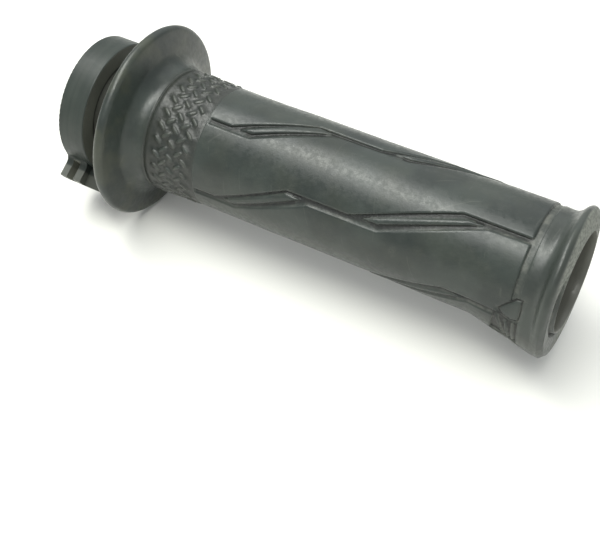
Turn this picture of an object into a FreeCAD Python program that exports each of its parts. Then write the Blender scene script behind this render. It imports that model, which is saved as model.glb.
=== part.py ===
"""Right-hand twist grip for a motorcycle: a moulded throttle tube and the rubber sleeve on it.

Frame: +X runs along the handlebar from the cable drum's end face (X = 0) to the open
outer end, +Z is up and the origin is on the bar's axis. Angles around the axis are
counted from -Y towards +Z, so a point is (x, -r cos a, r sin a). Lengths are millimetres.
"""
import FreeCAD, Part
import math
import os
import Sketcher

DIMENSIONS = {
    # throttle tube
    "edge_zero": 0.0,
    "bore_radius": 11.2,
    "tube_radius": 13.0,
    "tube_end": 134.3,
    "end_chamfer": 0.6,
    "drum_radius": 18.4,
    "drum_width": 8.1,
    "drum_wall": 2.0,
    "drum_round": 0.4,
    "web_start": 6.1,
    "neck_radius": 13.4,
    "flange_back": 17.25,
    "web_rib_thickness": 1.4,
    "web_rib_count": 8,
    "web_rib_start": 0.8,
    "rib_sunk": 0.3,
    # cable lug on the drum
    "lug_radius": 24.0,
    "lug_root_radius": 17.0,
    "lug_rear_root": 14.6,
    "lug_ear_radius": 20.4,
    "lug_foot_angle": -23.35,
    "lug_foot_sunk": 0.08,
    "lug_clear_front": -18.0,
    "lug_front_angle": -29.5,
    "lug_step_angle": -37.0,
    "lug_back_angle": -66.0,
    "lug_clear_back": -73.0,
    "lug_width": 13.2,
    "lug_ear_start": 0.05,
    "lug_ear_end": 6.6,
    "lug_fillet": 2.2,
    "slot_floor_radius": 18.9,
    "slot_top_radius": 25.0,
    "slot_width": 2.25,
    "pull_slot_start": 2.1,
    "return_slot_start": 9.0,
    "seat_radius": 2.55,
    "seat_pitch_radius": 20.4,
    "seat_angle": -54.0,
    "seat_depth": 6.0,
    # locking splines under the rubber
    "spline_count": 8,
    "spline_height": 0.6,
    "spline_width": 1.6,
    "spline_start": 30.0,
    "spline_end": 126.0,
    "spline_sunk": 0.4,
    # rubber sleeve outline
    "rim_back_radius": 25.25,
    "rim_fillet": 1.5,
    "face_top": 20.21,
    "face_top_radius": 25.59,
    "flare_start": 21.5,
    "flare_start_radius": 20.1,
    "flare_fillet": 5.0,
    "band_start": 26.2,
    "band_start_radius": 16.8,
    "band_end": 41.3,
    "band_radius": 16.1,
    "pad_start": 41.9,
    "groove_radius": 15.6,
    "pad_start_radius": 16.05,
    "pad_full": 62.0,
    "pad_radius": 16.4,
    "pad_end": 130.0,
    "collar_start": 131.8,
    "collar_radius": 16.1,
    "collar_end": 134.6,
    "collar_end_radius": 15.95,
    "bead_foot": 136.4,
    "bead_foot_radius": 17.1,
    "bead_foot_fillet": 2.6,
    "bead_front": 139.0,
    "bead_front_radius": 18.3,
    "bead_fillet": 1.65,
    "mouth_end": 140.4,
    "face_dome": 24.0,
    # swelling of the outer end on its underside: circles off the axis
    "swell_angle": -75.0,
    "swell_start": 119.0,
    "swell_start_radius": 16.3,
    "swell_collar": 136.4,
    "swell_collar_offset": 5.0,
    "swell_collar_radius": 16.0,
    "swell_bead": 138.6,
    "swell_bead_offset": 3.5,
    "swell_bead_radius": 17.4,
    "swell_front": 139.7,
    "swell_front_offset": 3.1,
    "swell_front_radius": 16.6,
    "swell_bore_radius": 14.4,
    "swell_bore_end": 141.0,
    "swell_bore_length": 23.0,
    # zigzag channels between the pads
    "channel_count": 5,
    "channel_depth": 0.65,
}

PARTS_FOLDER = "parts"

doc = FreeCAD.newDocument("throttle_grip")


def make_sheet():
    """Puts every driving dimension in a spreadsheet under its own alias."""
    new_sheet = doc.addObject("Spreadsheet::Sheet", "Dimensions")
    for row, (alias, number) in enumerate(DIMENSIONS.items(), start=1):
        new_sheet.set(f"A{row}", alias)
        new_sheet.set(f"B{row}", str(number))
        new_sheet.setAlias(f"B{row}", alias)
    doc.recompute()
    return new_sheet


sheet = make_sheet()


def linked(expression):
    """Turns aliases in an expression into references to the sheet."""
    words = []
    for word in expression.split():
        words.append(f"Dimensions.{word}" if word in DIMENSIONS else word)
    return " ".join(words)


def number(expression):
    """The present value of an expression of aliases."""
    return float(sheet.evalExpression(linked(expression)))


def new_body(label):
    """An empty PartDesign body whose label names its file."""
    body = doc.addObject("PartDesign::Body", label)
    body.Label = label
    body.Placement = FreeCAD.Placement()
    return body


def new_sketch(body, name, plane, offset=None):
    """A sketch on one of the body's own origin planes, moved along its normal."""
    sketch = body.newObject("Sketcher::SketchObject", name)
    faces = [item for item in body.Origin.OriginFeatures if item.Role == plane]
    sketch.AttachmentSupport = (faces[0], [""])
    sketch.MapMode = "FlatFace"
    if offset:
        sketch.setExpression("AttachmentOffset.Base.z", linked(offset))
    doc.recompute()
    return sketch


def place_point(sketch, geometry, end, name, across, upwards):
    """Ties one end of a curve to the sketch's origin with two named dimensions."""
    for kind, expression in (("DistanceX", across), ("DistanceY", upwards)):
        index = sketch.addConstraint(
            Sketcher.Constraint(kind, -1, 1, geometry, end, number(expression)))
        sketch.renameConstraint(index, f"{name}_{kind[-1]}")
        sketch.setExpression(f"Constraints.{name}_{kind[-1]}", linked(expression))


def arc_through(start, end, radius):
    """The shorter arc between two points; a positive radius turns anticlockwise."""
    chord = end - start
    half = chord.Length / 2
    size = abs(radius)
    rise = math.sqrt(max(size * size - half * half, 0.0))
    normal = FreeCAD.Vector(-chord.y, chord.x, 0).normalize()
    centre = start + chord * 0.5 + normal * (rise if radius > 0 else -rise)
    middle = centre + (start + chord * 0.5 - centre).normalize() * size
    return Part.Arc(start, middle, end)


def draw_outline(sketch, vertices):
    """Draws a closed outline whose vertices are bound to the sheet.

    Each vertex is (name, across, upwards, radius): radius is None for a straight run to
    the next vertex, or the alias of an arc's radius with a leading - for clockwise.
    """
    points = [FreeCAD.Vector(number(item[1]), number(item[2]), 0) for item in vertices]
    count = len(vertices)
    for index, (name, across, upwards, radius) in enumerate(vertices):
        start = points[index]
        end = points[(index + 1) % count]
        if radius is None:
            sketch.addGeometry(Part.LineSegment(start, end))
            continue
        clockwise = radius.startswith("-")
        alias = radius.lstrip("-")
        size = number(alias)
        sketch.addGeometry(arc_through(start, end, -size if clockwise else size))
    for index, (name, across, upwards, radius) in enumerate(vertices):
        following = (index + 1) % count
        first_end = 1 if radius is not None and radius.startswith("-") else 2
        next_radius = vertices[following][3]
        next_start = 2 if next_radius is not None and next_radius.startswith("-") else 1
        sketch.addConstraint(
            Sketcher.Constraint("Coincident", index, first_end, following, next_start))
        own_start = 2 if radius is not None and radius.startswith("-") else 1
        place_point(sketch, index, own_start, name, across, upwards)
        if radius is not None:
            alias = radius.lstrip("-")
            made = sketch.addConstraint(Sketcher.Constraint("Radius", index, number(alias)))
            sketch.renameConstraint(made, f"{name}_radius")
            sketch.setExpression(f"Constraints.{name}_radius", linked(alias))
    doc.recompute()


def revolve(body, sketch, kind="PartDesign::Revolution"):
    """A full turn of the sketch about the body's X axis."""
    feature = body.newObject(kind, f"{sketch.Name}_turned")
    feature.Profile = sketch
    feature.ReferenceAxis = (sketch, ["H_Axis"])
    feature.Angle = 360
    doc.recompute()
    return feature


def polar(radius, angle):
    """Expressions for a point at a radius and angle, in a sketch across the axis."""
    return (f"- {radius} * cos( {angle} )", f"{radius} * sin( {angle} )")


def add_pad(body, sketch, name, length):
    """Raises the sketch towards +X by the given length."""
    pad = body.newObject("PartDesign::Pad", name)
    pad.Profile = sketch
    pad.setExpression("Length", linked(length))
    doc.recompute()
    return pad


def cut_pocket(body, sketch, name, depth, towards_end=True):
    """Cuts the sketch's area from the body, towards +X or back towards -X."""
    before = body.Shape.Volume
    pocket = body.newObject("PartDesign::Pocket", name)
    pocket.Profile = sketch
    pocket.Reversed = towards_end
    pocket.setExpression("Length", linked(depth))
    doc.recompute()
    if body.Shape.Volume >= before:
        raise RuntimeError(f"{name} cuts nothing")
    return pocket


def repeat_around(body, feature, sketch, name, count):
    """Repeats a feature evenly around the grip's axis."""
    pattern = body.newObject("PartDesign::PolarPattern", name)
    pattern.Originals = [feature]
    pattern.Axis = (sketch, ["N_Axis"])
    pattern.Angle = 360
    pattern.setExpression("Occurrences", linked(count))
    body.Tip = pattern
    doc.recompute()
    return pattern


def across_rectangle(sketch, name, inner, outer, half_width):
    """A rectangle on the -Y side between two radii, to be repeated around the axis."""
    draw_outline(sketch, [
        (f"{name}_a", f"- {outer}", f"- {half_width}", None),
        (f"{name}_b", f"- {inner}", f"- {half_width}", None),
        (f"{name}_c", f"- {inner}", half_width, None),
        (f"{name}_d", f"- {outer}", half_width, None),
    ])


def draw_circle(sketch, name, centre, radius):
    """A circle whose centre and radius are bound to the sheet."""
    middle = FreeCAD.Vector(number(centre[0]), number(centre[1]), 0)
    index = sketch.addGeometry(
        Part.Circle(middle, FreeCAD.Vector(0, 0, 1), number(radius)))
    place_point(sketch, index, 3, name, *centre)
    made = sketch.addConstraint(Sketcher.Constraint("Radius", index, number(radius)))
    sketch.renameConstraint(made, f"{name}_radius")
    sketch.setExpression(f"Constraints.{name}_radius", linked(radius))
    doc.recompute()


def add_splines(body, cut):
    """The locking splines: ridges on the tube, and the grooves that hold them."""
    sketch = new_sketch(body, f"{body.Label}_spline", "YZ_Plane", "spline_start")
    across_rectangle(sketch, "spline", "( tube_radius - spline_sunk )",
                     "( tube_radius + spline_height )", "( spline_width / 2 )")
    length = "( spline_end - spline_start )"
    if cut:
        feature = cut_pocket(body, sketch, f"{body.Label}_spline_groove", length)
    else:
        feature = add_pad(body, sketch, f"{body.Label}_spline_ridge", length)
    repeat_around(body, feature, sketch, f"{body.Label}_splines", "spline_count")


def add_lug_block(body, name, start, length, root, front, fillet):
    """One stretch of the cable lug: a block between two angles on the drum's rim."""
    sketch = new_sketch(body, name, "YZ_Plane", start)
    vertices = []
    if fillet:
        vertices += [
            (f"{name}_root_front", *polar(root, "lug_foot_angle"), None),
            (f"{name}_foot", *polar("( drum_radius - lug_foot_sunk )", "lug_foot_angle"),
             "-lug_fillet"),
            (f"{name}_ear", *polar("lug_ear_radius", front), None),
        ]
    else:
        vertices.append((f"{name}_root_front", *polar(root, front), None))
    vertices += [
        (f"{name}_front", *polar("lug_radius", front), "lug_radius"),
        (f"{name}_back", *polar("lug_radius", "lug_back_angle"), None),
        (f"{name}_root_back", *polar(root, "lug_back_angle"), f"-{root}"),
    ]
    draw_outline(sketch, vertices)
    add_pad(body, sketch, f"{name}_block", length)


def cut_cable_slot(body, name, start, front, back):
    """A slot for one cable, open outwards and at one end of the lug."""
    sketch = new_sketch(body, name, "YZ_Plane", start)
    draw_outline(sketch, [
        (f"{name}_a", *polar("slot_floor_radius", front), None),
        (f"{name}_b", *polar("slot_top_radius", front), "slot_top_radius"),
        (f"{name}_c", *polar("slot_top_radius", back), None),
        (f"{name}_d", *polar("slot_floor_radius", back), "-slot_floor_radius"),
    ])
    cut_pocket(body, sketch, f"{name}_cut", "slot_width")


def build_throttle_tube():
    """The plastic tube with its cable drum, cable lug and locking splines."""
    body = new_body("throttle_tube")
    section = new_sketch(body, "tube_section", "XY_Plane")
    draw_outline(section, [
        ("bore_inboard", "edge_zero", "bore_radius", None),
        ("bore_outboard", "tube_end", "bore_radius", None),
        ("end_face", "tube_end", "( tube_radius - end_chamfer )", None),
        ("end_chamfer", "( tube_end - end_chamfer )", "tube_radius", None),
        ("neck_foot", "flange_back", "tube_radius", None),
        ("neck_end", "flange_back", "neck_radius", None),
        ("neck_start", "drum_width", "neck_radius", None),
        ("drum_side", "drum_width", "( drum_radius - drum_round )", "drum_round"),
        ("drum_outboard", "( drum_width - drum_round )", "drum_radius", None),
        ("drum_inboard", "drum_round", "drum_radius", "drum_round"),
        ("drum_face", "edge_zero", "( drum_radius - drum_round )", None),
        ("hollow_outer", "edge_zero", "( drum_radius - drum_wall )", None),
        ("hollow_floor_outer", "web_start", "( drum_radius - drum_wall )", None),
        ("hollow_floor_inner", "web_start", "tube_radius", None),
        ("hollow_inner", "edge_zero", "tube_radius", None),
    ])
    revolve(body, section)
    add_lug_block(body, "lug_ears", "lug_ear_start", "( lug_ear_end - lug_ear_start )",
                  "lug_root_radius", "lug_front_angle", True)
    add_lug_block(body, "lug_rear", "lug_ear_end", "( lug_width - lug_ear_end )",
                  "lug_rear_root", "lug_step_angle", False)
    cut_cable_slot(body, "pull_slot", "pull_slot_start", "lug_clear_front", "seat_angle")
    cut_cable_slot(body, "return_slot", "return_slot_start", "seat_angle", "lug_clear_back")
    for name, start, outwards in (("pull_seat", "edge_zero", True),
                                  ("return_seat", "lug_width", False)):
        seat = new_sketch(body, name, "YZ_Plane", start)
        draw_circle(seat, name, polar("seat_pitch_radius", "seat_angle"), "seat_radius")
        cut_pocket(body, seat, f"{name}_bore", "seat_depth", outwards)
    rib = new_sketch(body, "web_rib", "YZ_Plane", "web_rib_start")
    across_rectangle(rib, "rib", "( tube_radius - rib_sunk )",
                     "( drum_radius - drum_wall + rib_sunk )", "( web_rib_thickness / 2 )")
    rib_pad = add_pad(body, rib, "web_rib_block", "( web_start - web_rib_start + rib_sunk )")
    repeat_around(body, rib_pad, rib, "web_ribs", "web_rib_count")
    add_splines(body, cut=False)
    return body


def build_sleeve():
    """The rubber sleeve's turned body, with grooves for the tube's splines."""
    body = new_body("sleeve_blank")
    section = new_sketch(body, "sleeve_section", "XY_Plane")
    draw_outline(section, [
        ("back_root", "flange_back", "tube_radius", None),
        ("back_rim", "flange_back", "rim_back_radius", "-rim_fillet"),
        ("face_top", "face_top", "face_top_radius", None),
        ("flare_start", "flare_start", "flare_start_radius", "flare_fillet"),
        ("band_start", "band_start", "band_start_radius", None),
        ("band_end", "band_end", "band_radius", None),
        ("band_groove_left", "band_end", "groove_radius", None),
        ("band_groove_right", "pad_start", "groove_radius", None),
        ("pad_start", "pad_start", "pad_start_radius", None),
        ("pad_full", "pad_full", "pad_radius", None),
        ("pad_end", "pad_end", "pad_radius", None),
        ("ring_groove_left", "pad_end", "groove_radius", None),
        ("ring_groove_right", "collar_start", "groove_radius", None),
        ("collar_start", "collar_start", "collar_radius", None),
        ("collar_end", "collar_end", "collar_end_radius", "bead_foot_fillet"),
        ("bead_foot", "bead_foot", "bead_foot_radius", "-bead_fillet"),
        ("bead_front", "bead_front", "bead_front_radius", "-face_dome"),
        ("mouth", "mouth_end", "tube_radius", None),
    ])
    revolve(body, section)
    add_splines(body, cut=True)
    return body


def wrapped_prism(outline, inner_radius, outer_radius):
    """A solid between two cylinders about X whose sides follow an (x, angle) outline."""
    parameters = [(math.radians(angle), -along) for along, angle in outline]
    surfaces = []
    rings = []
    for radius in (inner_radius, outer_radius):
        cylinder = Part.Cylinder()
        cylinder.Radius = radius
        edges = []
        for index, start in enumerate(parameters):
            end = parameters[(index + 1) % len(parameters)]
            segment = Part.Geom2d.Line2dSegment(
                FreeCAD.Base.Vector2d(*start), FreeCAD.Base.Vector2d(*end))
            edges.append(segment.toShape(cylinder))
        rings.append(edges)
        surfaces.append(Part.Face(cylinder, Part.Wire(edges)))
    sides = [Part.makeRuledSurface(inner, outer) for inner, outer in zip(*rings)]
    shell = Part.makeShell(surfaces + sides)
    shell.sewShape()
    solid = Part.Solid(shell)
    if solid.Volume < 0:
        solid.reverse()
    turn = FreeCAD.Rotation(FreeCAD.Vector(0, -1, 0), FreeCAD.Vector(0, 0, 1),
                            FreeCAD.Vector(-1, 0, 0), "XYZ")
    return solid.transformed(FreeCAD.Placement(FreeCAD.Vector(), turn).toMatrix())


# One zigzag channel as it lies on the grip: (x, angle), upper edge out and lower edge back.
GROOVE_OVERLAP = 0.3
PAD_LEFT = DIMENSIONS["pad_start"] - GROOVE_OVERLAP
PAD_RIGHT = DIMENSIONS["pad_end"] + GROOVE_OVERLAP
CHANNEL = [
    (PAD_LEFT, 66.0), (48.3, 66.0), (68.8, 101.1), (86.1, 101.1), (112.6, 137.8),
    (PAD_RIGHT, 138.0), (PAD_RIGHT, 132.8), (119.8, 132.0), (94.2, 96.0), (75.3, 95.2),
    (54.4, 60.6), (PAD_LEFT, 60.6),
]
# How far a cutter reaches past the surface it cuts.
CUTTER_OVERLAP = 0.8
# The slender raised islands that stand in the channel's two slanted stretches.
ISLANDS = [
    [(51.0, 65.7), (54.4, 65.8), (71.6, 95.9), (69.0, 97.2)],
    [(89.8, 102.4), (94.0, 102.3), (117.4, 133.0), (114.6, 133.6)],
]


def build_channels():
    """All zigzag channels as one cutter, repeated around the grip."""
    inner = DIMENSIONS["pad_radius"] - DIMENSIONS["channel_depth"]
    outer = DIMENSIONS["pad_radius"] + CUTTER_OVERLAP
    channel = wrapped_prism(CHANNEL, inner, outer)
    for island in ISLANDS:
        block = wrapped_prism(island, inner - CUTTER_OVERLAP, outer + CUTTER_OVERLAP)
        channel = channel.cut(block)
    count = int(DIMENSIONS["channel_count"])
    turned = []
    for index in range(count):
        copy = channel.copy()
        copy.rotate(FreeCAD.Vector(), FreeCAD.Vector(1, 0, 0), index * 360.0 / count)
        turned.append(copy)
    cutter = doc.addObject("Part::Feature", "channel_cutter")
    cutter.Shape = Part.makeCompound(turned)
    return cutter


def build_swelling():
    """The fuller underside of the sleeve's outer end, lofted through off-centre circles."""
    body = new_body("end_swelling")
    sections = []
    for name, station, offset, radius in (
            ("swell_0", "swell_start", "edge_zero", "swell_start_radius"),
            ("swell_1", "swell_collar", "swell_collar_offset", "swell_collar_radius"),
            ("swell_2", "swell_bead", "swell_bead_offset", "swell_bead_radius"),
            ("swell_3", "swell_front", "swell_front_offset", "swell_front_radius")):
        section = new_sketch(body, name, "YZ_Plane", station)
        draw_circle(section, name, polar(offset, "swell_angle"), radius)
        sections.append(section)
    loft = body.newObject("PartDesign::AdditiveLoft", "swell_loft")
    loft.Profile = sections[0]
    loft.Sections = sections[1:]
    loft.Ruled = True
    doc.recompute()
    bore = new_sketch(body, "swell_bore", "YZ_Plane", "swell_bore_end")
    draw_circle(bore, "swell_bore", ("edge_zero", "edge_zero"), "swell_bore_radius")
    cut_pocket(body, bore, "swell_bore_cut", "swell_bore_length", False)
    return body


def build_grip_rubber():
    """The finished sleeve: the turned blank, less the channels, with the swelling on it."""
    cut = doc.addObject("Part::Cut", "channelled_sleeve")
    cut.Base = build_sleeve()
    cut.Tool = build_channels()
    grip = doc.addObject("Part::Fuse", "grip_rubber")
    grip.Label = "grip_rubber"
    grip.Base = cut
    grip.Tool = build_swelling()
    doc.recompute()
    return grip


def check_and_write(nodes):
    """Stops on any failed object or bad shape, then writes one STEP file per node."""
    doc.recompute()
    for item in doc.Objects:
        if {"Invalid", "Error"} & set(item.State):
            raise RuntimeError(f"{item.Label} failed: {item.State}")
    os.makedirs(PARTS_FOLDER, exist_ok=True)
    for node in nodes:
        shape = node.Shape
        if shape.isNull() or not shape.isValid() or len(shape.Solids) != 1:
            raise RuntimeError(f"{node.Label} has a bad shape")
        shape.exportStep(os.path.join(PARTS_FOLDER, f"{node.Label}.step"))
        print(f"{node.Label}: {shape.Volume / 1000:.2f} cm3, {len(shape.Faces)} faces")


check_and_write([build_throttle_tube(), build_grip_rubber()])
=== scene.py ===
"""Studio scene of a motorcycle twist grip on its throttle tube.

The plastic tube is the CAD node with a better material. The rubber sleeve is replaced by one
closed mesh: its patterned middle is laid out flat, in mm along the axis and mm around it, then
triangulated, raised and rolled up, and the flange and the open end are added as turned rows.
"""
import math

import bmesh
import bpy
import numpy as np
from mathutils import Matrix, Vector, noise
from mathutils.geometry import delaunay_2d_cdt


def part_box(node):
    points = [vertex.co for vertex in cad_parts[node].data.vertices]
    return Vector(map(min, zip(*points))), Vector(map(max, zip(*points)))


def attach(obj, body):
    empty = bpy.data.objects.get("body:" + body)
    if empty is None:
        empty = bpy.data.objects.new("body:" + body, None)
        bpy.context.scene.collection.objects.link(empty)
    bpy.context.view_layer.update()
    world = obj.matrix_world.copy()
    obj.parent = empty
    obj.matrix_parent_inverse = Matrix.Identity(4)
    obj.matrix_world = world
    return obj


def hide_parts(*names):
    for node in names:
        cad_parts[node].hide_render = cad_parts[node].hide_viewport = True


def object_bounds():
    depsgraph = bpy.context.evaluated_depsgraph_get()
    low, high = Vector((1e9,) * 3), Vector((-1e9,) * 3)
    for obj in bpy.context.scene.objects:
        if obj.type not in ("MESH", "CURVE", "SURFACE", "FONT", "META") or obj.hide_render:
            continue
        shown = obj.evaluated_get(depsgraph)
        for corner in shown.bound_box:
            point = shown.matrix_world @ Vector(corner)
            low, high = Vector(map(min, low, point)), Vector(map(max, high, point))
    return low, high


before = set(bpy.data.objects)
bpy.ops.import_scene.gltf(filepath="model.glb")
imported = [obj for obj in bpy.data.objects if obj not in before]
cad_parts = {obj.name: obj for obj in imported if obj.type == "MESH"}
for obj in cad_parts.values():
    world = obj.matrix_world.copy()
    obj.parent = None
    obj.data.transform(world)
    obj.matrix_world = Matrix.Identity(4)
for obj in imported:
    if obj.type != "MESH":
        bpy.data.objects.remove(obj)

CAD_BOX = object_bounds()
MM = 0.001
TAU = 2.0 * math.pi

# ---------------------------------------------------------------- sleeve dimensions
# Lengths are in mm; a pair is (x, radius). Angles are in degrees from -Y towards +Z.
sleeve_low, sleeve_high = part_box("grip_rubber")
tube_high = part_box("throttle_tube")[1]
BACK = sleeve_low.x / MM
MOUTH = sleeve_high.x / MM
TUBE_END = tube_high.x / MM
BORE = 13.0

# The thumb flange: back face, rounded rim, front face and the fillet down to the band.
BACK_FACE_INNER_R, RIM_BACK_R, RIM_FILLET = 15.3, 25.2, 1.5
FACE_TOP = (20.21, 25.56)
FLARE_START = (21.5, 20.1)
FLARE_FILLET = 5.0

# The treadplate band, the pads and the collar, and the body's radius on top of them.
BAND_START, BAND_START_R = 26.2, 16.8
BAND_END, BAND_END_R = 41.3, 16.05
PAD_START, PAD_END = 41.9, 130.0
COLLAR_START, COLLAR_END = 131.8, 134.0
BODY = [(BAND_START, BAND_START_R), (BAND_END, BAND_END_R), (PAD_START, 16.08), (52.0, 16.15),
        (62.0, 16.35), (84.0, 16.3), (104.0, 16.4), (120.0, 16.36), (PAD_END, 16.4),
        (COLLAR_START, 16.1), (COLLAR_END, 15.98)]
UNROLL = 16.3 * math.pi / 180.0
FULL_TURN = 360.0 * UNROLL

# Depths below that radius. A channel is deeper towards its upper wall, and the ring groove
# between the pads and the collar gets shallower towards the collar.
CHANNEL_DEPTH_LOW, CHANNEL_DEPTH_HIGH = 0.40, 0.88
CHANNEL_RUN_OUT = 1.5
RING_DEPTH, RING_RISE = 0.55, 0.38
ISLAND_SUNK, ISLAND_CROWN = 0.12, 0.10
PAD_CROWN = 0.09
BAND_GROOVE_X, BAND_GROOVE_DEPTH = BAND_START + 0.43, 0.26
BAND_LIP_X, BAND_LIP_DEPTH = BAND_END + 0.36, 0.09

# A raised region's wall runs this far to each side of its outline.
PAD_WALL, ISLAND_WALL, BAR_WALL, LEAF_WALL = 0.13, 0.13, 0.13, 0.15

# A right-hand grip: a channel's two edges as (x, angle), repeated five times around.
PITCH = 72.0
CHANNELS = 5
UPPER_EDGE = [(PAD_START, 66.0), (48.3, 66.0), (68.8, 101.1), (86.1, 101.1),
              (112.6, 137.8), (PAD_END, 138.0)]
LOWER_EDGE = [(PAD_START, 60.6), (54.4, 60.6), (75.3, 95.2), (94.2, 96.0),
              (119.8, 132.0), (PAD_END, 132.8)]
ISLANDS = [
    [(51.0, 65.7), (54.4, 65.8), (72.9, 97.5), (68.9, 98.5)],
    [(89.8, 102.4), (94.0, 102.3), (118.2, 133.9), (114.4, 133.6)],
]
# A moulded leaf and three ribs where a channel runs out underneath, on one side of the grip only.
LEAF = [(127.7, -1.5), (128.9, 3.5), (130.2, 7.5), (131.5, 11.5), (132.5, 12.0), (132.7, 3.0),
        (132.6, -6.5), (131.0, -8.0), (129.3, -6.5), (128.2, -4.0)]
RIB_PANEL = [(126.6, -6.0), (128.6, -8.6), (131.0, -11.0), (132.8, -9.5), (132.8, -36.0),
             (125.6, -36.0)]
RIBS = [((127.3, -9.5), (129.3, -33.0)), ((129.7, -13.5), (130.6, -33.0)),
        ((131.6, -13.5), (131.9, -33.0))]
LEAF_RECESS, LEAF_MARGIN, LEAF_HEIGHT = 0.70, 0.6, 0.64
RIB_HALF_WIDTH, RIB_HEIGHT, RIB_WALL = 0.38, 0.58, 0.22

# The end's fuller underside: circles off the axis, as (x, offset, radius).
SWELL_ANGLE = -75.0
SWELL = [(119.0, 0.0, 16.3), (136.4, 5.0, 16.0), (138.6, 3.5, 17.4), (139.7, 3.1, 16.6)]

# The end bead from the collar outwards, then the lip, the groove's walls, the inner ring and
# the mouth. The groove is open on one side only and trimmed shut on the other.
BEAD = [(COLLAR_END, 15.98), (134.9, 16.05), (135.7, 16.4), (136.35, 16.95), (136.85, 17.6),
        (137.4, 18.2), (138.0, 18.5), (138.65, 18.42), (139.2, 18.0), (139.57, 17.4),
        (139.78, 16.9)]
LIP_R, GROOVE_OUT_R, GROOVE_IN_R, RING_OUT_R, MOUTH_R = 14.75, 14.5, 13.6, 13.35, 13.06
END_FACE_X, LIP_X, LIP_DROP = 138.0, 140.18, 0.55
# The end face inside the lip, as (radius, x where it is trimmed shut, x where it is open).
END_FACE = [(LIP_R - 0.08, 140.2, 139.5), (GROOVE_OUT_R, 140.22, 138.5),
            (14.05, 140.27, 138.25), (GROOVE_IN_R, 140.32, 138.4),
            (RING_OUT_R, 140.37, 140.2), (RING_OUT_R - 0.1, MOUTH, MOUTH)]
# The open side runs between two angles, and each of its ends fades over so many degrees.
OPEN_FROM, OPEN_FADE_IN = -95.0, 40.0
OPEN_TO, OPEN_FADE_OUT = 52.0, 35.0
# The torn rubber: its steps' height, and how far back over the bead it shows.
TORN_STEP, TORN_FROM_X, TORN_REACH = 0.16, 139.35, 0.8

# Treadplate bars on the band: columns of leaning bars, alternate columns lean the other way.
# A column is (x, first bar's angle, lean).
BAR_COUNT = 27
BAR_LENGTH, BAR_WIDTH, BAR_HEIGHT = 2.75, 1.0, 0.40
BAR_COLUMNS = [(30.6, 43.5, -38.0), (32.5, 36.8, 38.0), (34.6, 43.5, -38.0),
               (36.9, 36.8, 38.0), (38.8, 43.5, -38.0)]


def unrolled(points):
    """(x, angle) points as flat millimetres."""
    flat = np.array(points, float)
    flat[:, 1] *= UNROLL
    return flat


def offset_polygon(polygon, distance):
    """The polygon with each side moved outwards by a distance; corners are mitred."""
    count = len(polygon)
    area = 0.0
    for a, b in zip(polygon, np.roll(polygon, -1, axis=0)):
        area += a[0] * b[1] - b[0] * a[1]
    side = 1.0 if area > 0 else -1.0
    moved = []
    for index in range(count):
        before, here, after = polygon[index - 1], polygon[index], polygon[(index + 1) % count]
        first = (here - before) / np.linalg.norm(here - before)
        second = (after - here) / np.linalg.norm(after - here)
        normal_a = side * np.array([first[1], -first[0]])
        normal_b = side * np.array([second[1], -second[0]])
        middle = normal_a + normal_b
        middle *= distance / max(0.25, middle @ normal_a)
        moved.append(here + middle)
    return np.array(moved)


def resampled(polygon, step):
    """The closed polygon with extra points along its sides, about a step apart."""
    out = []
    for a, b in zip(polygon, np.roll(polygon, -1, axis=0)):
        pieces = max(1, int(round(np.linalg.norm(b - a) / step)))
        for part in range(pieces):
            out.append(a + (b - a) * part / pieces)
    return np.array(out)


def signed_distance(points, polygon):
    """Distance from each point to the polygon's outline, positive inside it."""
    best = np.full(len(points), np.inf)
    inside = np.zeros(len(points), bool)
    for a, b in zip(polygon, np.roll(polygon, -1, axis=0)):
        run = b - a
        along = np.clip(((points - a) @ run) / (run @ run), 0.0, 1.0)
        gap = points - (a + along[:, None] * run)
        best = np.minimum(best, np.hypot(gap[:, 0], gap[:, 1]))
        crosses = (a[1] > points[:, 1]) != (b[1] > points[:, 1])
        if a[1] != b[1]:
            cut = a[0] + (points[:, 1] - a[1]) * run[0] / run[1]
            inside ^= crosses & (points[:, 0] < cut)
    return np.where(inside, best, -best)


def line_distance(points, line):
    """Distance from each point to an open polyline."""
    best = np.full(len(points), np.inf)
    for a, b in zip(line[:-1], line[1:]):
        run = b - a
        along = np.clip(((points - a) @ run) / (run @ run), 0.0, 1.0)
        gap = points - (a + along[:, None] * run)
        best = np.minimum(best, np.hypot(gap[:, 0], gap[:, 1]))
    return best


def smooth(value):
    """Smoothstep of a value that runs from 0 to 1."""
    t = np.clip(value, 0.0, 1.0)
    return t * t * (3.0 - 2.0 * t)


def wall(distance, half):
    """0 outside a raised region, 1 inside it, with a rounded wall between."""
    return smooth((distance + half) / (2.0 * half))


def within_half_turn(angles):
    """The angles moved by whole turns to between -180 and 180 degrees."""
    return (angles + 180.0) % 360.0 - 180.0


def leans_open(angles):
    """1 where the end's groove is open, 0 where the rubber is trimmed shut."""
    turn = within_half_turn(angles)
    opening = smooth((turn - OPEN_FROM) / OPEN_FADE_IN)
    return opening * smooth((OPEN_TO - turn) / OPEN_FADE_OUT)


# ---------------------------------------------------------------- flat layout of the sleeve

def pad_polygon(index):
    """The pad between channel index and the one above it."""
    lower = [(x, a + PITCH * index) for x, a in UPPER_EDGE]
    upper = [(x, a + PITCH * (index + 1)) for x, a in LOWER_EDGE]
    return unrolled(lower + upper[::-1])


def island_polygons(index):
    """The two slender islands in a channel."""
    return [unrolled([(x, a + PITCH * index) for x, a in island]) for island in ISLANDS]


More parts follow.
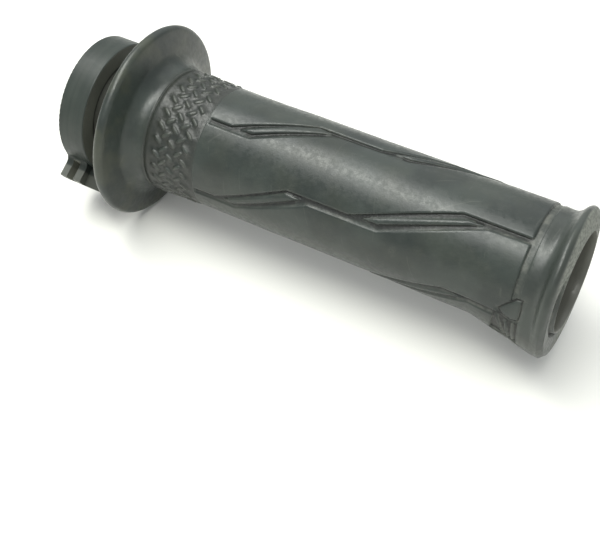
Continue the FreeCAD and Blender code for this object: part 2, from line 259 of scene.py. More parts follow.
def bar_polygon(x, angle, lean, corners=14):
    """A treadplate bar: a rounded bar that narrows towards its ends."""
    turns = np.linspace(0.0, TAU, corners, endpoint=False)
    long_way = 0.5 * BAR_LENGTH * np.sign(np.cos(turns)) * np.abs(np.cos(turns)) ** 0.85
    cross_way = 0.5 * BAR_WIDTH * np.sin(turns)
    c, s = math.cos(math.radians(lean)), math.sin(math.radians(lean))
    centre = unrolled([(x, angle)])[0]
    return np.stack([centre[0] + c * long_way - s * cross_way,
                     centre[1] + s * long_way + c * cross_way], axis=1)


# The flat layout is cut along this line, which stays on top of a pad. Its two ends are a whole
# number of edge steps apart, so that the flange's and the end's rows meet vertex to vertex.
SEAM = [(BAND_START, 98.0), (PAD_START, 98.0), (48.3, 98.0), (68.8, 133.1),
        (86.1, 133.3), (112.6, 170.0), (COLLAR_END, 170.0)]
EDGE_STEPS = 360

# Extra lines all around, at these distances from the band, pads and collar.
AROUND = [(BAND_START, (0.22, 0.34, 0.43, 0.52, 0.64)), (BAND_END, (0.12, 0.24, 0.36, 0.48, 0.6)),
          (PAD_END, (0.35, 0.75, 1.15)), (COLLAR_START, (-0.16, -0.05, 0.05, 0.16))]
AROUND_STEPS, SEAM_STEPS = 300, 130
FINE_SPACING, COARSE_SPACING = 0.42, 0.95


def seam_height(x):
    """The seam's unrolled height at x: it runs through the middle of a pad."""
    flat = unrolled(SEAM)
    return np.interp(x, flat[:, 0], flat[:, 1])


class Layout:
    """Points and edges for one constrained triangulation."""

    def __init__(self):
        self.points = []
        self.edges = []

    def add_line(self, line, closed):
        first = len(self.points)
        self.points += [tuple(p) for p in line]
        count = len(line)
        for index in range(count if closed else count - 1):
            self.edges.append((first + index, first + (index + 1) % count))

    def add_rings(self, polygon, steps, spacing):
        """The outline moved by each step, wherever it shows between the two seams."""
        for shown in copies_in_view(polygon):
            for step in steps:
                self.add_line(resampled(offset_polygon(shown, step), spacing), True)

    def add_filling(self, points, clearance):
        """Loose points, apart from those too close to the ones already there."""
        taken = set()
        for x, y in self.points:
            column, row = int(x / clearance), int(y / clearance)
            taken.update((column + a, row + b) for a in (-1, 0, 1) for b in (-1, 0, 1))
        for x, y in points:
            if (int(x / clearance), int(y / clearance)) not in taken:
                self.points.append((float(x), float(y)))


def copies_in_view(polygon):
    """The polygon wherever it reaches between the seam and the seam one turn on."""
    out = []
    for turn in range(-2, 3):
        moved = polygon + np.array([0.0, turn * FULL_TURN])
        start = seam_height(moved[:, 0])
        if (moved[:, 1] > start - 1.0).any() and (moved[:, 1] < start + FULL_TURN + 1.0).any():
            out.append(moved)
    return out


def staggered_grid(spacing):
    """Points all over the sleeve's unrolled middle, in staggered rows."""
    points = []
    columns = np.arange(BAND_START + spacing, COLLAR_END - 0.6 * spacing, spacing * 0.87)
    for index, x in enumerate(columns):
        count = int(FULL_TURN / spacing)
        rows = (np.arange(1, count) + 0.5 * (index % 2)) * FULL_TURN / (count + 1)
        points.append(np.stack([np.full(len(rows), x), seam_height(x) + rows], axis=1))
    return np.concatenate(points)


def around_line(x, steps):
    """A line once around the sleeve at x, from the seam to the seam one turn on."""
    rows = seam_height(x) + np.arange(steps + 1) * FULL_TURN / steps
    return np.stack([np.full(len(rows), x), rows], axis=1)


def flat_layout():
    """All the outlines that the sleeve's surface follows, and filling points."""
    layout = Layout()
    for x in (BAND_START, COLLAR_END):
        layout.add_line(around_line(x, EDGE_STEPS), False)
    seam_x = np.linspace(BAND_START, COLLAR_END, SEAM_STEPS)
    seam_x = np.unique(np.concatenate([seam_x, [p[0] for p in SEAM]]))
    for lift in (0.0, FULL_TURN):
        layout.add_line(np.stack([seam_x, seam_height(seam_x) + lift], axis=1), False)
    for index in range(CHANNELS):
        steps = [PAD_WALL * part for part in (1.0, 0.4, -0.3, -1.0)] + [-0.6]
        layout.add_rings(pad_polygon(index), steps, 0.6)
        for island in island_polygons(index):
            steps = [ISLAND_WALL * part for part in (1.0, 0.35, -0.35, -1.0)]
            layout.add_rings(island, steps, 0.5)
    layout.add_rings(unrolled(LEAF), [LEAF_WALL, 0.0, -LEAF_WALL], 0.4)
    layout.add_rings(unrolled(RIB_PANEL), [LEAF_WALL, 0.0, -LEAF_WALL], 0.5)
    for x, angle, lean in BAR_COLUMNS:
        for count in range(BAR_COUNT):
            bar = bar_polygon(x, angle + count * 360.0 / BAR_COUNT, lean)
            for shown in copies_in_view(bar):
                for step in (BAR_WALL, 0.0, -BAR_WALL):
                    layout.add_line(offset_polygon(shown, step), True)
    for x, gaps in AROUND:
        for gap in gaps:
            layout.add_line(around_line(x + gap, AROUND_STEPS), False)
    fine = staggered_grid(FINE_SPACING)
    pads = pad_distance(fine)
    near = (pads < 0.5) & (fine[:, 0] > PAD_START) & (fine[:, 0] < COLLAR_START)
    one_turn_on = fine - np.array([0.0, FULL_TURN])
    in_leaf = signed_distance(one_turn_on, unrolled(RIB_PANEL)) > -0.5
    in_leaf |= signed_distance(one_turn_on, unrolled(LEAF)) > -0.8
    layout.add_filling(fine[near | in_leaf], 0.2)
    layout.add_filling(staggered_grid(COARSE_SPACING), 0.4)
    return layout


def nominal_radius(x):
    """The sleeve's turned radius on top of its pads, band and collar."""
    return np.interp(x, [row[0] for row in BODY], [row[1] for row in BODY])


def swollen(x, angle, radius):
    """The radius with the fuller underside of the end added to the turned shape."""
    x, angle, radius = np.broadcast_arrays(x, angle, radius)
    stations = [row[0] for row in SWELL]
    offset = np.interp(x, stations, [row[1] for row in SWELL])
    size = np.interp(x, stations, [row[2] for row in SWELL])
    turn = np.radians(angle - SWELL_ANGLE)
    reach = offset * np.cos(turn) + np.sqrt(size ** 2 - (offset * np.sin(turn)) ** 2)
    soft = 0.02 + 0.25 * offset
    share = np.clip(0.5 + 0.5 * (reach - radius) / soft, 0.0, 1.0)
    return radius + share * (reach - radius) + soft * share * (1.0 - share) * (offset > 0)


def pad_distance(flat):
    """Signed distance to the nearest pad's outline, positive on the pad."""
    best = np.full(len(flat), -np.inf)
    for turn in (-1, 0, 1, 2):
        for index in range(CHANNELS):
            polygon = pad_polygon(index) + np.array([0.0, turn * FULL_TURN])
            low, high = polygon[:, 1].min() - 3.0, polygon[:, 1].max() + 3.0
            close = (flat[:, 1] > low) & (flat[:, 1] < high)
            if close.any():
                best[close] = np.maximum(best[close], signed_distance(flat[close], polygon))
    return best


def channel_floor(flat):
    """The height of the channels' floor, deepest under each upper wall, and the islands."""
    x, around = flat[:, 0], flat[:, 1]
    ratio = np.full(len(flat), 0.5)
    islands = np.full(len(flat), -np.inf)
    for turn in (-1, 0, 1, 2):
        for index in range(CHANNELS):
            shift = np.array([0.0, turn * FULL_TURN])
            upper = unrolled([(a, b + PITCH * index) for a, b in UPPER_EDGE]) + shift
            lower = unrolled([(a, b + PITCH * index) for a, b in LOWER_EDGE]) + shift
            inside = around < np.interp(x, upper[:, 0], upper[:, 1]) + 0.3
            inside &= around > np.interp(x, lower[:, 0], lower[:, 1]) - 0.3
            chosen = flat[inside]
            if not len(chosen):
                continue
            from_above = line_distance(chosen, upper)
            from_below = line_distance(chosen, lower)
            best = islands[inside]
            for island in island_polygons(index):
                shape = island + shift
                gap = signed_distance(chosen, shape)
                best = np.maximum(best, gap)
                low_end, high_end = (shape[0] + shape[1]) / 2, (shape[2] + shape[3]) / 2
                length = np.linalg.norm(high_end - low_end)
                run = (high_end - low_end) / length
                offset = chosen - low_end
                along = offset @ run
                over = run[0] * offset[:, 1] - run[1] * offset[:, 0]
                near = (along > 0.0) & (along < length)
                above, below = near & (over > 0), near & (over <= 0)
                from_below[above] = np.minimum(from_below[above], np.abs(gap[above]))
                from_above[below] = np.minimum(from_above[below], np.abs(gap[below]))
            islands[inside] = best
            ratio[inside] = from_below / np.maximum(from_above + from_below, 1e-6)
    depth = CHANNEL_DEPTH_LOW + (CHANNEL_DEPTH_HIGH - CHANNEL_DEPTH_LOW) * ratio
    inner = smooth(np.minimum(x - PAD_START, PAD_END - x) / CHANNEL_RUN_OUT)
    ring = RING_DEPTH - RING_RISE * np.clip((x - PAD_END) / (COLLAR_START - PAD_END), 0.0, 1.0)
    return -(depth * inner + ring * (1.0 - inner)), islands


def surface_height(flat, lift):
    """How far each flat point stands from the body's plain radius.

    The lift is how far the end's swelling stands out there: the channels fade into it.
    """
    x = flat[:, 0]
    pads = pad_distance(flat)
    floor, islands = channel_floor(flat)
    raised = np.maximum(wall(pads, PAD_WALL), wall(islands, ISLAND_WALL))
    raised = np.maximum(raised, wall(BAND_END + 0.1 - x, 0.15))
    raised = np.maximum(raised, wall(x - COLLAR_START, 0.14))
    height = floor * (1.0 - raised) * (1.0 - 0.6 * smooth(lift / 1.5))
    island_top = -ISLAND_SUNK + ISLAND_CROWN * smooth(islands / 0.5)
    height += np.where(islands > 0, island_top, 0.0)
    crown = PAD_CROWN * smooth(pads / 4.0) - PAD_CROWN
    height += np.where(pads > 0, crown * smooth((x - PAD_START) / 6.0), 0.0)
    from_lip = np.abs(x - BAND_LIP_X)
    lip = -BAND_LIP_DEPTH * smooth(1.0 - from_lip / 0.24)
    height = np.where(from_lip < 0.3, np.maximum(height, lip), height)
    height -= BAND_GROOVE_DEPTH * smooth(1.0 - np.abs(x - BAND_GROOVE_X) / 0.2)
    height += bar_height(flat)
    return leaf_height(flat, height)


def leaf_height(flat, height):
    """The moulded leaf in its recess, and the ribs below it."""
    flat = flat - np.array([0.0, FULL_TURN])
    leaf = signed_distance(flat, unrolled(LEAF))
    panel = signed_distance(flat, unrolled(RIB_PANEL))
    recess = np.maximum(wall(leaf + LEAF_MARGIN, 0.18), wall(panel, LEAF_WALL))
    height = np.minimum(height, height * (1.0 - recess) - LEAF_RECESS * recess)
    bumps = LEAF_HEIGHT * wall(leaf, LEAF_WALL) * (0.82 + 0.18 * smooth(leaf / 1.2))
    for start, end in RIBS:
        inside = RIB_HALF_WIDTH - line_distance(flat, unrolled([start, end]))
        bumps = np.maximum(bumps, RIB_HEIGHT * wall(inside, RIB_WALL))
    return height + bumps


def bar_height(flat):
    """The treadplate bars' height over the band."""
    lift = np.zeros(len(flat))
    banded = flat[:, 0] < BAND_END + 0.3
    some = flat[banded]
    best = np.zeros(len(some))
    pitch = FULL_TURN / BAR_COUNT
    for x, angle, lean in BAR_COLUMNS:
        centre = unrolled([(x, angle)])[0]
        moved = some.copy()
        moved[:, 1] = (some[:, 1] - centre[1] + pitch / 2) % pitch + centre[1] - pitch / 2
        gap = signed_distance(moved, bar_polygon(x, angle, lean))
        rounded = wall(gap, BAR_WALL) * (0.82 + 0.18 * smooth(gap / 0.4))
        best = np.maximum(best, BAR_HEIGHT * rounded)
    lift[banded] = best
    return lift


def on_grip(x, angle, radius):
    """A point of the grip, in metres, from mm along the axis, degrees and mm."""
    a = np.radians(angle)
    return np.stack([x * MM, -radius * np.cos(a) * MM, radius * np.sin(a) * MM], axis=-1)


def arc_points(start, end, radius, steps):
    """Points of the shorter arc between two (x, r) points, without the first one."""
    a, b = np.array(start, float), np.array(end, float)
    chord = b - a
    half = np.linalg.norm(chord) / 2
    size = abs(radius)
    rise = math.sqrt(max(size * size - half * half, 0.0)) * (1 if radius > 0 else -1)
    normal = np.array([-chord[1], chord[0]]) / np.linalg.norm(chord)
    centre = (a + b) / 2 + normal * rise
    first = math.atan2(*(a - centre)[::-1])
    turn = math.atan2(*(b - centre)[::-1]) - first
    turn = (turn + math.pi) % TAU - math.pi
    angles = first + turn * np.arange(1, steps + 1) / steps
    return [tuple(centre + size * np.array([math.cos(t), math.sin(t)])) for t in angles]


def straight_points(start, end, steps):
    """Evenly spaced points of a straight run, without the first one."""
    a, b = np.array(start, float), np.array(end, float)
    return [tuple(a + (b - a) * n / steps) for n in range(1, steps + 1)]


def curved(points, steps):
    """A smooth line through all the points, as a list of points."""
    nodes = np.array([points[0], *points, points[-1]], float)
    out = [tuple(nodes[1])]
    for a, b, c, d in zip(nodes[:-3], nodes[1:-2], nodes[2:-1], nodes[3:]):
        slope = c - a
        square = 2.0 * a - 5.0 * b + 4.0 * c - d
        cube = 3.0 * b - a - 3.0 * c + d
        for t in np.arange(1, steps + 1) / steps:
            out.append(tuple(0.5 * (2.0 * b + slope * t + square * t ** 2 + cube * t ** 3)))
    return out


def flange_rows(angles):
    """From the bore at the flange's back, over the rim, down the flare to the band."""
    back_rim = (BACK, RIM_BACK_R)
    points = [(BACK, BORE)]
    points += straight_points(points[-1], (BACK, BACK_FACE_INNER_R), 1)
    points += straight_points(points[-1], back_rim, 8)
    points += arc_points(points[-1], FACE_TOP, -RIM_FILLET, 14)
    points += straight_points(points[-1], FLARE_START, 8)
    points += arc_points(points[-1], (BAND_START, BAND_START_R), FLARE_FILLET, 16)
    return [(np.full(len(angles), x), np.full(len(angles), r)) for x, r in points]


def end_rows(angles):
    """From the collar over the end bead, down the end face and into the mouth."""
    rows = []
    for x, r in curved(BEAD, 5):
        rows.append((np.full(len(angles), x), swollen(x, angles, r)))
    open_side = leans_open(angles)
    front_x, front_r = BEAD[-1][0], rows[-1][1]
    lip_x = LIP_X - LIP_DROP * open_side
    for part in (0.2, 0.4, 0.6, 0.8, 0.93):
        r = front_r + (LIP_R - front_r) * part
        x = front_x + (lip_x - front_x) * part ** (1.0 + open_side)
        torn = (1.0 - open_side) * (0.5 + 0.5 * math.sin(math.pi * min(part * 1.2, 1.0)))
        rows.append((x + TORN_STEP * torn * rough_noise(angles, r), r))
    rows.append((lip_x, np.full(len(angles), LIP_R)))
    for r, shut, opened in END_FACE:
        x = shut + (opened - shut) * open_side
        torn = (1.0 - open_side) * (r > RING_OUT_R)
        ring = np.full(len(angles), r)
        rows.append((x + TORN_STEP * torn * rough_noise(angles, ring), ring))
    for x, r in ((MOUTH, MOUTH_R), (MOUTH - 0.1, BORE), (MOUTH - 2.0, BORE),
                 (TUBE_END, BORE), (100.0, BORE), (60.0, BORE), (BACK, BORE)):
        rows.append((np.full(len(angles), x), np.full(len(angles), r)))
    return rows


def rough_noise(angles, radii):
    """Small uneven steps, as on rubber that was trimmed by hand; never outwards."""
    out = []
    for a, r in zip(np.radians(angles), radii):
        place = Vector((r * math.cos(a), r * math.sin(a), 0.0))
        out.append(noise.noise(place * 1.1) + 0.6 * noise.noise(place * 2.7))
    return np.minimum(np.array(out) - 0.35, 0.0)


def end_marks(angles, x, r):
    """Where a row of the flange or the end lies in the groove, and where it is torn."""
    start = TORN_FROM_X - TORN_REACH * smooth((within_half_turn(angles) - 50.0) / 60.0)
    at_end = x > END_FACE_X
    torn = np.where((r > MOUTH_R) & at_end, smooth((x - start) / 0.5), 0.0)
    # The groove's rows get a relief of -1, so that the material paints shade in them.
    in_groove = at_end & (x < 139.3) & (r < 14.7) & (r > 13.1)
    return np.where(in_groove, -1.0, 0.0), torn * (1.0 - leans_open(angles))


def build_sleeve():
    """The rubber sleeve as one closed mesh.

    Its point attributes are "relief", how far a point stands out, and "torn", both for the
    material.
    """
    layout = flat_layout()
    made = delaunay_2d_cdt([Vector(p) for p in layout.points], layout.edges, [], 0, 1e-5)
    flat = np.array([tuple(v) for v in made[0]])
    faces = np.array([tuple(f) for f in made[2]])
    centres = flat[faces].mean(axis=1)
    start = seam_height(centres[:, 0])
    keep = (centres[:, 1] > start) & (centres[:, 1] < start + FULL_TURN)
    keep &= (centres[:, 0] > BAND_START) & (centres[:, 0] < COLLAR_END)
    faces = faces[keep]
    angles = flat[:, 1] / UNROLL
    plain = nominal_radius(flat[:, 0])
    body = swollen(flat[:, 0], angles, plain)
    height = surface_height(flat, body - plain)
    vertices = [on_grip(flat[:, 0], angles, body + height)]
    polygons = [tuple(reversed(f)) for f in faces.tolist()]
    relief, torn = [height], [np.zeros(len(height))]
    total = len(height)
    for first_angle, rows_at in ((SEAM[0][1], flange_rows), (SEAM[-1][1], end_rows)):
        angles = first_angle + np.arange(EDGE_STEPS) * 360.0 / EDGE_STEPS
        rows = rows_at(angles)
        for x, r in rows:
            vertices.append(on_grip(x, angles, r))
            groove, trimmed = end_marks(angles, x, r)
            relief.append(groove)
            torn.append(trimmed)
        for step in range(len(rows) - 1):
            low, high = total + step * EDGE_STEPS, total + (step + 1) * EDGE_STEPS
            for corner in range(EDGE_STEPS):
                after = (corner + 1) % EDGE_STEPS
                polygons.append((low + corner, low + after, high + after, high + corner))
        total += len(rows) * EDGE_STEPS
    mesh = bpy.data.meshes.new("grip_sleeve")
    mesh.from_pydata(np.concatenate(vertices).tolist(), [], polygons)
    for name, values in (("relief", relief), ("torn", torn)):
        attribute = mesh.attributes.new(name, "FLOAT", "POINT")
        attribute.data.foreach_set("value", np.concatenate(values).astype(np.float32))
    piece = bpy.data.objects.new("grip_sleeve", mesh)
    bpy.context.scene.collection.objects.link(piece)
    weld(piece)
    return piece


def weld(piece):
    """Joins coincident vertices, turns all faces outwards and shades smooth."""
    work = bmesh.new()
    work.from_mesh(piece.data)
    bmesh.ops.remove_doubles(work, verts=work.verts, dist=2e-6)
    bmesh.ops.dissolve_degenerate(work, dist=1e-7, edges=work.edges)
    bmesh.ops.recalc_face_normals(work, faces=work.faces)
    work.to_mesh(piece.data)
    work.free()
    piece.data.polygons.foreach_set("use_smooth", [True] * len(piece.data.polygons))
    piece.data.update()


# ---------------------------------------------------------------- materials

class Graph:
    """Short names for building a node material."""

    def __init__(self, name):
        self.material = bpy.data.materials.new(name)
        self.material.use_nodes = True
        self.tree = self.material.node_tree
        self.shader = self.tree.nodes["Principled BSDF"]
        place = self.tree.nodes.new("ShaderNodeTexCoord")
        self.place = place.outputs["Object"]

    def link(self, source, socket):
        if isinstance(source, (int, float)):
            socket.default_value = source
        elif isinstance(source, tuple):
            socket.default_value = (*source, 1.0) if len(socket.default_value) == 4 else source
        else:
            self.tree.links.new(source, socket)

    def noise(self, scale, detail=3.0, stretch=None, shift=0.0):
        """Noise between 0 and 1 over the object, in cycles per metre."""
        place = self.place
        if stretch or shift:
            mapping = self.tree.nodes.new("ShaderNodeMapping")
            mapping.inputs["Location"].default_value = (shift, shift, shift)
            mapping.inputs["Scale"].default_value = stretch or (1.0, 1.0, 1.0)
            self.link(place, mapping.inputs["Vector"])
            place = mapping.outputs["Vector"]
        node = self.tree.nodes.new("ShaderNodeTexNoise")
        node.inputs["Scale"].default_value = scale
        node.inputs["Detail"].default_value = detail
        self.link(place, node.inputs["Vector"])
        return node.outputs["Fac"]

    def span(self, value, low, high, to_low=0.0, to_high=1.0):
        """The value's range from low to high, moved smoothly to another range."""
        node = self.tree.nodes.new("ShaderNodeMapRange")
        node.interpolation_type = "SMOOTHSTEP"
        for socket, source in zip(("Value", "From Min", "From Max", "To Min", "To Max"),
                                  (value, low, high, to_low, to_high)):
            self.link(source, node.inputs[socket])
        return node.outputs["Result"]

    def math(self, operation, a, b=0.0):
        node = self.tree.nodes.new("ShaderNodeMath")
        node.operation = operation
        self.link(a, node.inputs[0])
        self.link(b, node.inputs[1])
        return node.outputs[0]

    def mix(self, factor, a, b):
        """A colour between a and b."""
        node = self.tree.nodes.new("ShaderNodeMix")
        node.data_type = "RGBA"
        self.link(factor, node.inputs[0])
        self.link(a, node.inputs[6])
        self.link(b, node.inputs[7])
        return node.outputs[2]

    def attribute(self, name):
        node = self.tree.nodes.new("ShaderNodeAttribute")
        node.attribute_name = name
        return node.outputs["Fac"]

    def along(self):
        """The distance along the grip's axis."""
        node = self.tree.nodes.new("ShaderNodeSeparateXYZ")
        self.link(self.place, node.inputs[0])
        return node.outputs["X"]

    def from_axis(self):
        """The distance from the grip's axis."""
        split = self.tree.nodes.new("ShaderNodeSeparateXYZ")
        self.link(self.place, split.inputs[0])
        flat = self.tree.nodes.new("ShaderNodeCombineXYZ")
        self.link(split.outputs["Y"], flat.inputs["Y"])
        self.link(split.outputs["Z"], flat.inputs["Z"])
        length = self.tree.nodes.new("ShaderNodeVectorMath")
        length.operation = "LENGTH"
        self.link(flat.outputs[0], length.inputs[0])
        return length.outputs["Value"]

    def bump(self, height, distance, strength=1.0, under=None):
        node = self.tree.nodes.new("ShaderNodeBump")
        node.inputs["Strength"].default_value = strength
        node.inputs["Distance"].default_value = distance
        self.link(height, node.inputs["Height"])
        if under is not None:
            self.link(under, node.inputs["Normal"])
        return node.outputs["Normal"]

    def scratches(self, scale, turn, shift):
        """Short straight scratches: thin wave crests that show only in small patches."""
        mapping = self.tree.nodes.new("ShaderNodeMapping")
        mapping.inputs["Rotation"].default_value = turn
        self.link(self.place, mapping.inputs["Vector"])
        wave = self.tree.nodes.new("ShaderNodeTexWave")
        wave.inputs["Scale"].default_value = scale
        wave.inputs["Distortion"].default_value = 2.5
        wave.inputs["Detail"].default_value = 2.0
        self.link(mapping.outputs["Vector"], wave.inputs["Vector"])
        crest = self.span(wave.outputs["Fac"], 0.990, 0.999)
        where = self.span(self.noise(110.0, 2.0, None, shift), 0.60, 0.67)
        return self.math("MULTIPLY", crest, where)

    def finish(self, colour, roughness, normal, specular=0.46):
        for socket, source in (("Base Color", colour), ("Roughness", roughness),
                               ("Normal", normal), ("Specular IOR Level", specular)):
            self.link(source, self.shader.inputs[socket])
        return self.material


# Where the finishes change, in metres along the axis (X) or from it (R): a fade runs from its
# first value to its second.
FLANGE_FADE_X = (0.0235, 0.0215)
BAND_FADE_IN_X, BAND_FADE_OUT_X = (0.0255, 0.0275), (0.0408, 0.0422)
DUSTIER_X = (0.1100, 0.1200)
COLLAR_FADE_X = (0.1300, 0.1325)
BORE_FADE_R = (0.01312, 0.01302)
DRUM_BACK_X, DRUM_EDGE_R = (0.00800, 0.00815), (0.01835, 0.01815)
NECK_FADE_R = (0.0142, 0.0137)
LUG_REAR_X, LUG_REAR_R = (0.00655, 0.00670), (0.0185, 0.0189)
LUG_ROOT_IN_R, LUG_ROOT_OUT_R = (0.01845, 0.01885), (0.0209, 0.0203)
LUG_FACE_R = (0.0204, 0.0210)
SLOT_START_X, SLOT_END_X = (0.00205, 0.00212), (0.00440, 0.00433)
SLOT_FLOOR_R = (0.0187, 0.0189)

RUBBER_DARK, RUBBER_LIGHT = (0.0170, 0.0225, 0.0195), (0.0275, 0.0350, 0.0300)
BROWNED = (0.043, 0.048, 0.033)
BAND_TONE = (0.050, 0.053, 0.043)
# Dust on the rubber and the plastic; on the lug's ears it also serves as a painted highlight.
DUST_AND_SHEEN, TORN_TONE = (0.21, 0.21, 0.18), (0.20, 0.21, 0.18)
# Painted shade: a dark tone mixed in where shade falls, at the foot of the channels' upper walls,
# in the end's groove, between the treadplate bars, on the tube's neck and at the lug's root and
# rear.
SHADE_TONE = (0.007, 0.008, 0.007)
BORE_TONE = (0.125, 0.125, 0.105)
PLASTIC_DARK, PLASTIC_LIGHT = (0.018, 0.024, 0.0205), (0.027, 0.0345, 0.0295)
RECESS_TONE = (0.165, 0.168, 0.138)


def rubber_material():
    """Satin moulded rubber: mottled, dusty in its recesses, torn round the mouth, with painted
    shade in its deepest hollows and between its bars.
    """
    g = Graph("moulded_rubber")
    relief, torn = g.attribute("relief"), g.attribute("torn")
    along = g.along()
    on_band = g.math("MULTIPLY", g.span(along, *BAND_FADE_IN_X),
                     g.span(along, *BAND_FADE_OUT_X, 1.0, 0.0))
    mottle = g.noise(75.0, 4.0)
    fine = g.noise(420.0, 4.0)
    grain = g.noise(3600.0, 2.0)
    colour = g.mix(g.span(mottle, 0.38, 0.62), RUBBER_DARK, RUBBER_LIGHT)
    on_flange = g.span(along, *FLANGE_FADE_X)
    patches = g.span(g.noise(95.0, 5.0, None, 5.0), 0.44, 0.64)
    browned = g.math("MULTIPLY", patches, g.math("ADD", g.math("MULTIPLY", on_flange, 0.55), 0.22))
    colour = g.mix(browned, colour, BROWNED)
    colour = g.mix(g.math("MULTIPLY", on_band, g.span(fine, 0.35, 0.6, 0.15, 0.6)),
                   colour, BAND_TONE)
    # Painted shade on the band between the treadplate bars, darkest where the band lies lowest.
    shade_between_bars = g.math("MULTIPLY", on_band, g.span(relief, 0.20, 0.03, 0.0, 0.55))
    colour = g.mix(shade_between_bars, colour, SHADE_TONE)
    deep = g.span(relief, -0.12, -0.42)
    dusty = g.math("MULTIPLY", deep, g.span(g.noise(420.0, 3.0), 0.40, 0.68, 0.02, 0.12))
    dusty = g.math("MULTIPLY", dusty, g.span(along, *DUSTIER_X, 1.0, 3.0))
    colour = g.mix(dusty, colour, DUST_AND_SHEEN)
    # Painted shade at the foot of each channel's upper wall and in the end's groove, where the
    # relief is deepest.
    colour = g.mix(g.span(relief, -0.45, -0.64, 0.0, 0.85), colour, SHADE_TONE)
    colour = g.mix(g.span(along, *COLLAR_FADE_X, 0.0, 0.05), colour, DUST_AND_SHEEN)
    powder = g.math("MULTIPLY", g.span(g.noise(290.0, 5.0, None, 7.0), 0.50, 0.75, 0.0, 0.075),
                    g.span(grain, 0.3, 0.7))
    colour = g.mix(powder, colour, DUST_AND_SHEEN)
    scratch = g.math("MAXIMUM", g.scratches(55.0, (0.2, 0.5, 1.1), 1.7),
                     g.scratches(70.0, (0.9, 0.1, 0.3), 11.3))
    colour = g.mix(g.math("MULTIPLY", scratch, 0.07), colour, DUST_AND_SHEEN)
    speckle = g.span(g.noise(1250.0, 5.0), 0.34, 0.64, 0.45, 1.0)
    colour = g.mix(g.math("MULTIPLY", torn, speckle), colour, TORN_TONE)
    colour = g.mix(g.span(g.from_axis(), *BORE_FADE_R), colour, BORE_TONE)
    rough = g.span(g.noise(900.0, 5.0, None, 9.0), 0.35, 0.65, 0.28, 0.41)
    rough = g.math("ADD", rough, g.math("MULTIPLY", deep, 0.14))
    rough = g.math("ADD", rough, g.math("MULTIPLY", on_band, 0.06))
    rough = g.math("ADD", rough, g.math("MULTIPLY", torn, 0.35))
    wavy = g.bump(g.noise(240.0, 3.0), 0.00010, 0.35)
    coarse = g.math("ADD", g.math("MULTIPLY", on_band, 0.9), g.math("MULTIPLY", deep, 1.0))
    pitted = g.math("MULTIPLY", g.noise(1500.0, 4.0), g.math("ADD", coarse, 0.20))
    normal = g.bump(pitted, 0.00012, 0.6, wavy)
    normal = g.bump(grain, 0.00002, 0.35, normal)
    return g.finish(colour, rough, normal)


def plastic_material():
    """Satin black plastic: flow marks, dust, a lighter brown drum side and lug slot, painted shade
    on the neck and lug.
    """
    g = Graph("tube_plastic")
    along, from_axis = g.along(), g.from_axis()
    mottle = g.noise(60.0, 3.0)
    fine = g.noise(900.0, 3.0)
    flow = g.noise(260.0, 2.0, (4.0, 0.6, 0.6), 2.0)
    colour = g.mix(g.span(mottle, 0.35, 0.65), PLASTIC_DARK, PLASTIC_LIGHT)
    dusty = g.span(g.noise(210.0, 5.0, None, 4.0), 0.56, 0.76, 0.0, 0.08)
    colour = g.mix(dusty, colour, DUST_AND_SHEEN)
    rings = g.noise(300.0, 2.0, (4.0, 0.1, 0.1), 6.0)
    colour = g.mix(g.span(rings, 0.35, 0.65, 0.0, 0.035), colour, DUST_AND_SHEEN)
    recess = g.math("MULTIPLY", g.span(along, *DRUM_BACK_X), g.span(from_axis, *DRUM_EDGE_R))
    colour = g.mix(g.math("MULTIPLY", recess, g.span(mottle, 0.3, 0.7, 0.6, 1.0)),
                   colour, RECESS_TONE)
    # Painted shade on the neck between the drum and the flange.
    colour = g.mix(g.span(from_axis, *NECK_FADE_R, 0.0, 0.8), colour, SHADE_TONE)
    # The lug: lighter faces on its two ears, partly dust and partly a painted highlight; painted
    # shade at its root and rear, in colour and in a lower specular level; a lighter brown tone in
    # its slot.
    rear_of_lug = g.math("MULTIPLY", g.span(along, *LUG_REAR_X), g.span(from_axis, *LUG_REAR_R))
    root_of_lug = g.math("MULTIPLY", g.span(from_axis, *LUG_ROOT_IN_R),
                         g.span(from_axis, *LUG_ROOT_OUT_R))
    shaded = g.math("MAXIMUM", rear_of_lug, g.math("MULTIPLY", root_of_lug, 0.7))
    # Lighter ear faces: partly dust, partly a painted highlight.
    colour = g.mix(g.span(from_axis, *LUG_FACE_R, 0.0, 0.26), colour, DUST_AND_SHEEN)
    # Painted shade at the lug's root and rear.
    colour = g.mix(g.math("MULTIPLY", shaded, 0.35), colour, SHADE_TONE)
    in_slot = g.math("MULTIPLY", g.span(along, *SLOT_START_X), g.span(along, *SLOT_END_X))
    in_slot = g.math("MULTIPLY", in_slot, g.span(from_axis, *SLOT_FLOOR_R))
    colour = g.mix(g.math("MULTIPLY", in_slot, 0.8), colour, RECESS_TONE)
    rough = g.span(fine, 0.3, 0.7, 0.38, 0.46)
    normal = g.bump(flow, 0.00006, 0.3)
    normal = g.bump(fine, 0.00003, 0.35, normal)
    # The specular level drops where the lug has painted shade.
    return g.finish(colour, rough, normal, g.span(shaded, 0.0, 1.0, 0.33, 0.22))


def floor_material():
    """Matt pale paper."""
    g = Graph("pale_paper")
    tone = g.span(g.noise(8.0, 2.0), 0.3, 0.7)
    colour = g.mix(tone, (0.77, 0.765, 0.73), (0.79, 0.785, 0.75))
    return g.finish(colour, 1.0, g.bump(g.noise(3000.0, 2.0), 0.00001, 0.1), 0.0)


sleeve = build_sleeve()
sleeve.data.materials.append(rubber_material())
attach(sleeve, "root")
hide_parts("grip_rubber")

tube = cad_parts["throttle_tube"]
tube.data.materials.clear()
tube.data.materials.append(plastic_material())

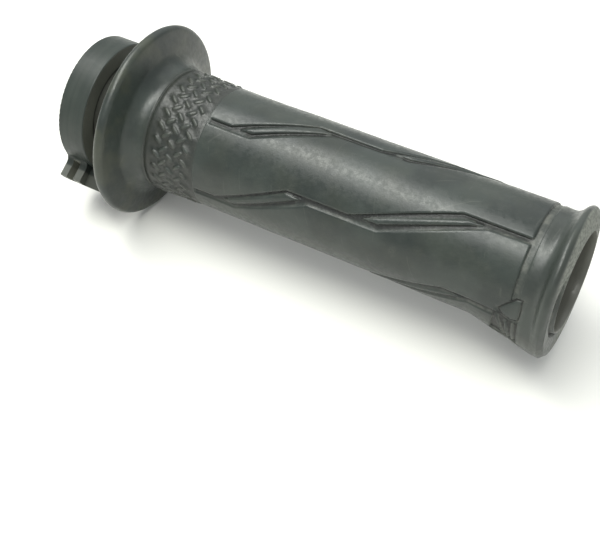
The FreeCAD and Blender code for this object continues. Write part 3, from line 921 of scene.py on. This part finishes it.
# ---------------------------------------------------------------- floor, light, camera
FLOOR_SIZE, FLOOR_GAP = 8.0, 0.0002
bpy.ops.mesh.primitive_plane_add(size=FLOOR_SIZE, location=(0.07, 0.0, CAD_BOX[0].z - FLOOR_GAP))
floor = bpy.context.object
floor.name = "floor"
floor.data.materials.append(floor_material())

scene = bpy.context.scene
scene.view_settings.view_transform = "Standard"
world = bpy.data.worlds.new("studio")
scene.world = world
world.use_nodes = True
sky = world.node_tree.nodes["Background"]
sky.inputs["Color"].default_value = (0.94, 0.98, 1.0, 1.0)
sky.inputs["Strength"].default_value = 0.66


def area_light(name, place, target, size, power, colour=(1.0, 1.0, 1.0)):
    """A rectangular lamp at a place in metres, turned towards the target."""
    light = bpy.data.lights.new(name, "AREA")
    light.shape = "RECTANGLE"
    light.size, light.size_y = size
    light.energy = power
    light.color = colour
    lamp = bpy.data.objects.new(name, light)
    scene.collection.objects.link(lamp)
    lamp.location = place
    aim = Vector(target) - Vector(place)
    lamp.rotation_mode = "QUATERNION"
    lamp.rotation_quaternion = aim.to_track_quat("-Z", "Y")


# A long softbox overhead, in line with the grip, with a brighter core; a soft fill from behind.
GRIP_MIDDLE = (0.07, 0.0, 0.0)
area_light("softbox_top", (-0.06, -0.12, 0.56), GRIP_MIDDLE, (0.9, 0.32), 4.15)
area_light("softbox_core", (-0.02, -0.13, 0.55), GRIP_MIDDLE, (0.7, 0.09), 1.65,
           (0.97, 1.0, 0.88))
area_light("back_fill", (0.10, 0.75, 0.75), GRIP_MIDDLE, (1.2, 0.9), 2.4)

camera_data = bpy.data.cameras.new("camera")
camera_data.lens = 68.94
camera_data.sensor_width = 36.0
camera_data.clip_start = 0.005
camera = bpy.data.objects.new("camera", camera_data)
scene.collection.objects.link(camera)
# The camera's axes and place, fitted to the drum's, flange's and bead's outlines.
right = Vector((0.86592, 0.50018, 0.0))
up = Vector((-0.36035, 0.62385, 0.69351))
back = right.cross(up)
view_matrix = Matrix((right, up, back)).transposed().to_4x4()
view_matrix.translation = Vector((0.17733, -0.19518, 0.19885))
camera.matrix_world = view_matrix
scene.camera = camera
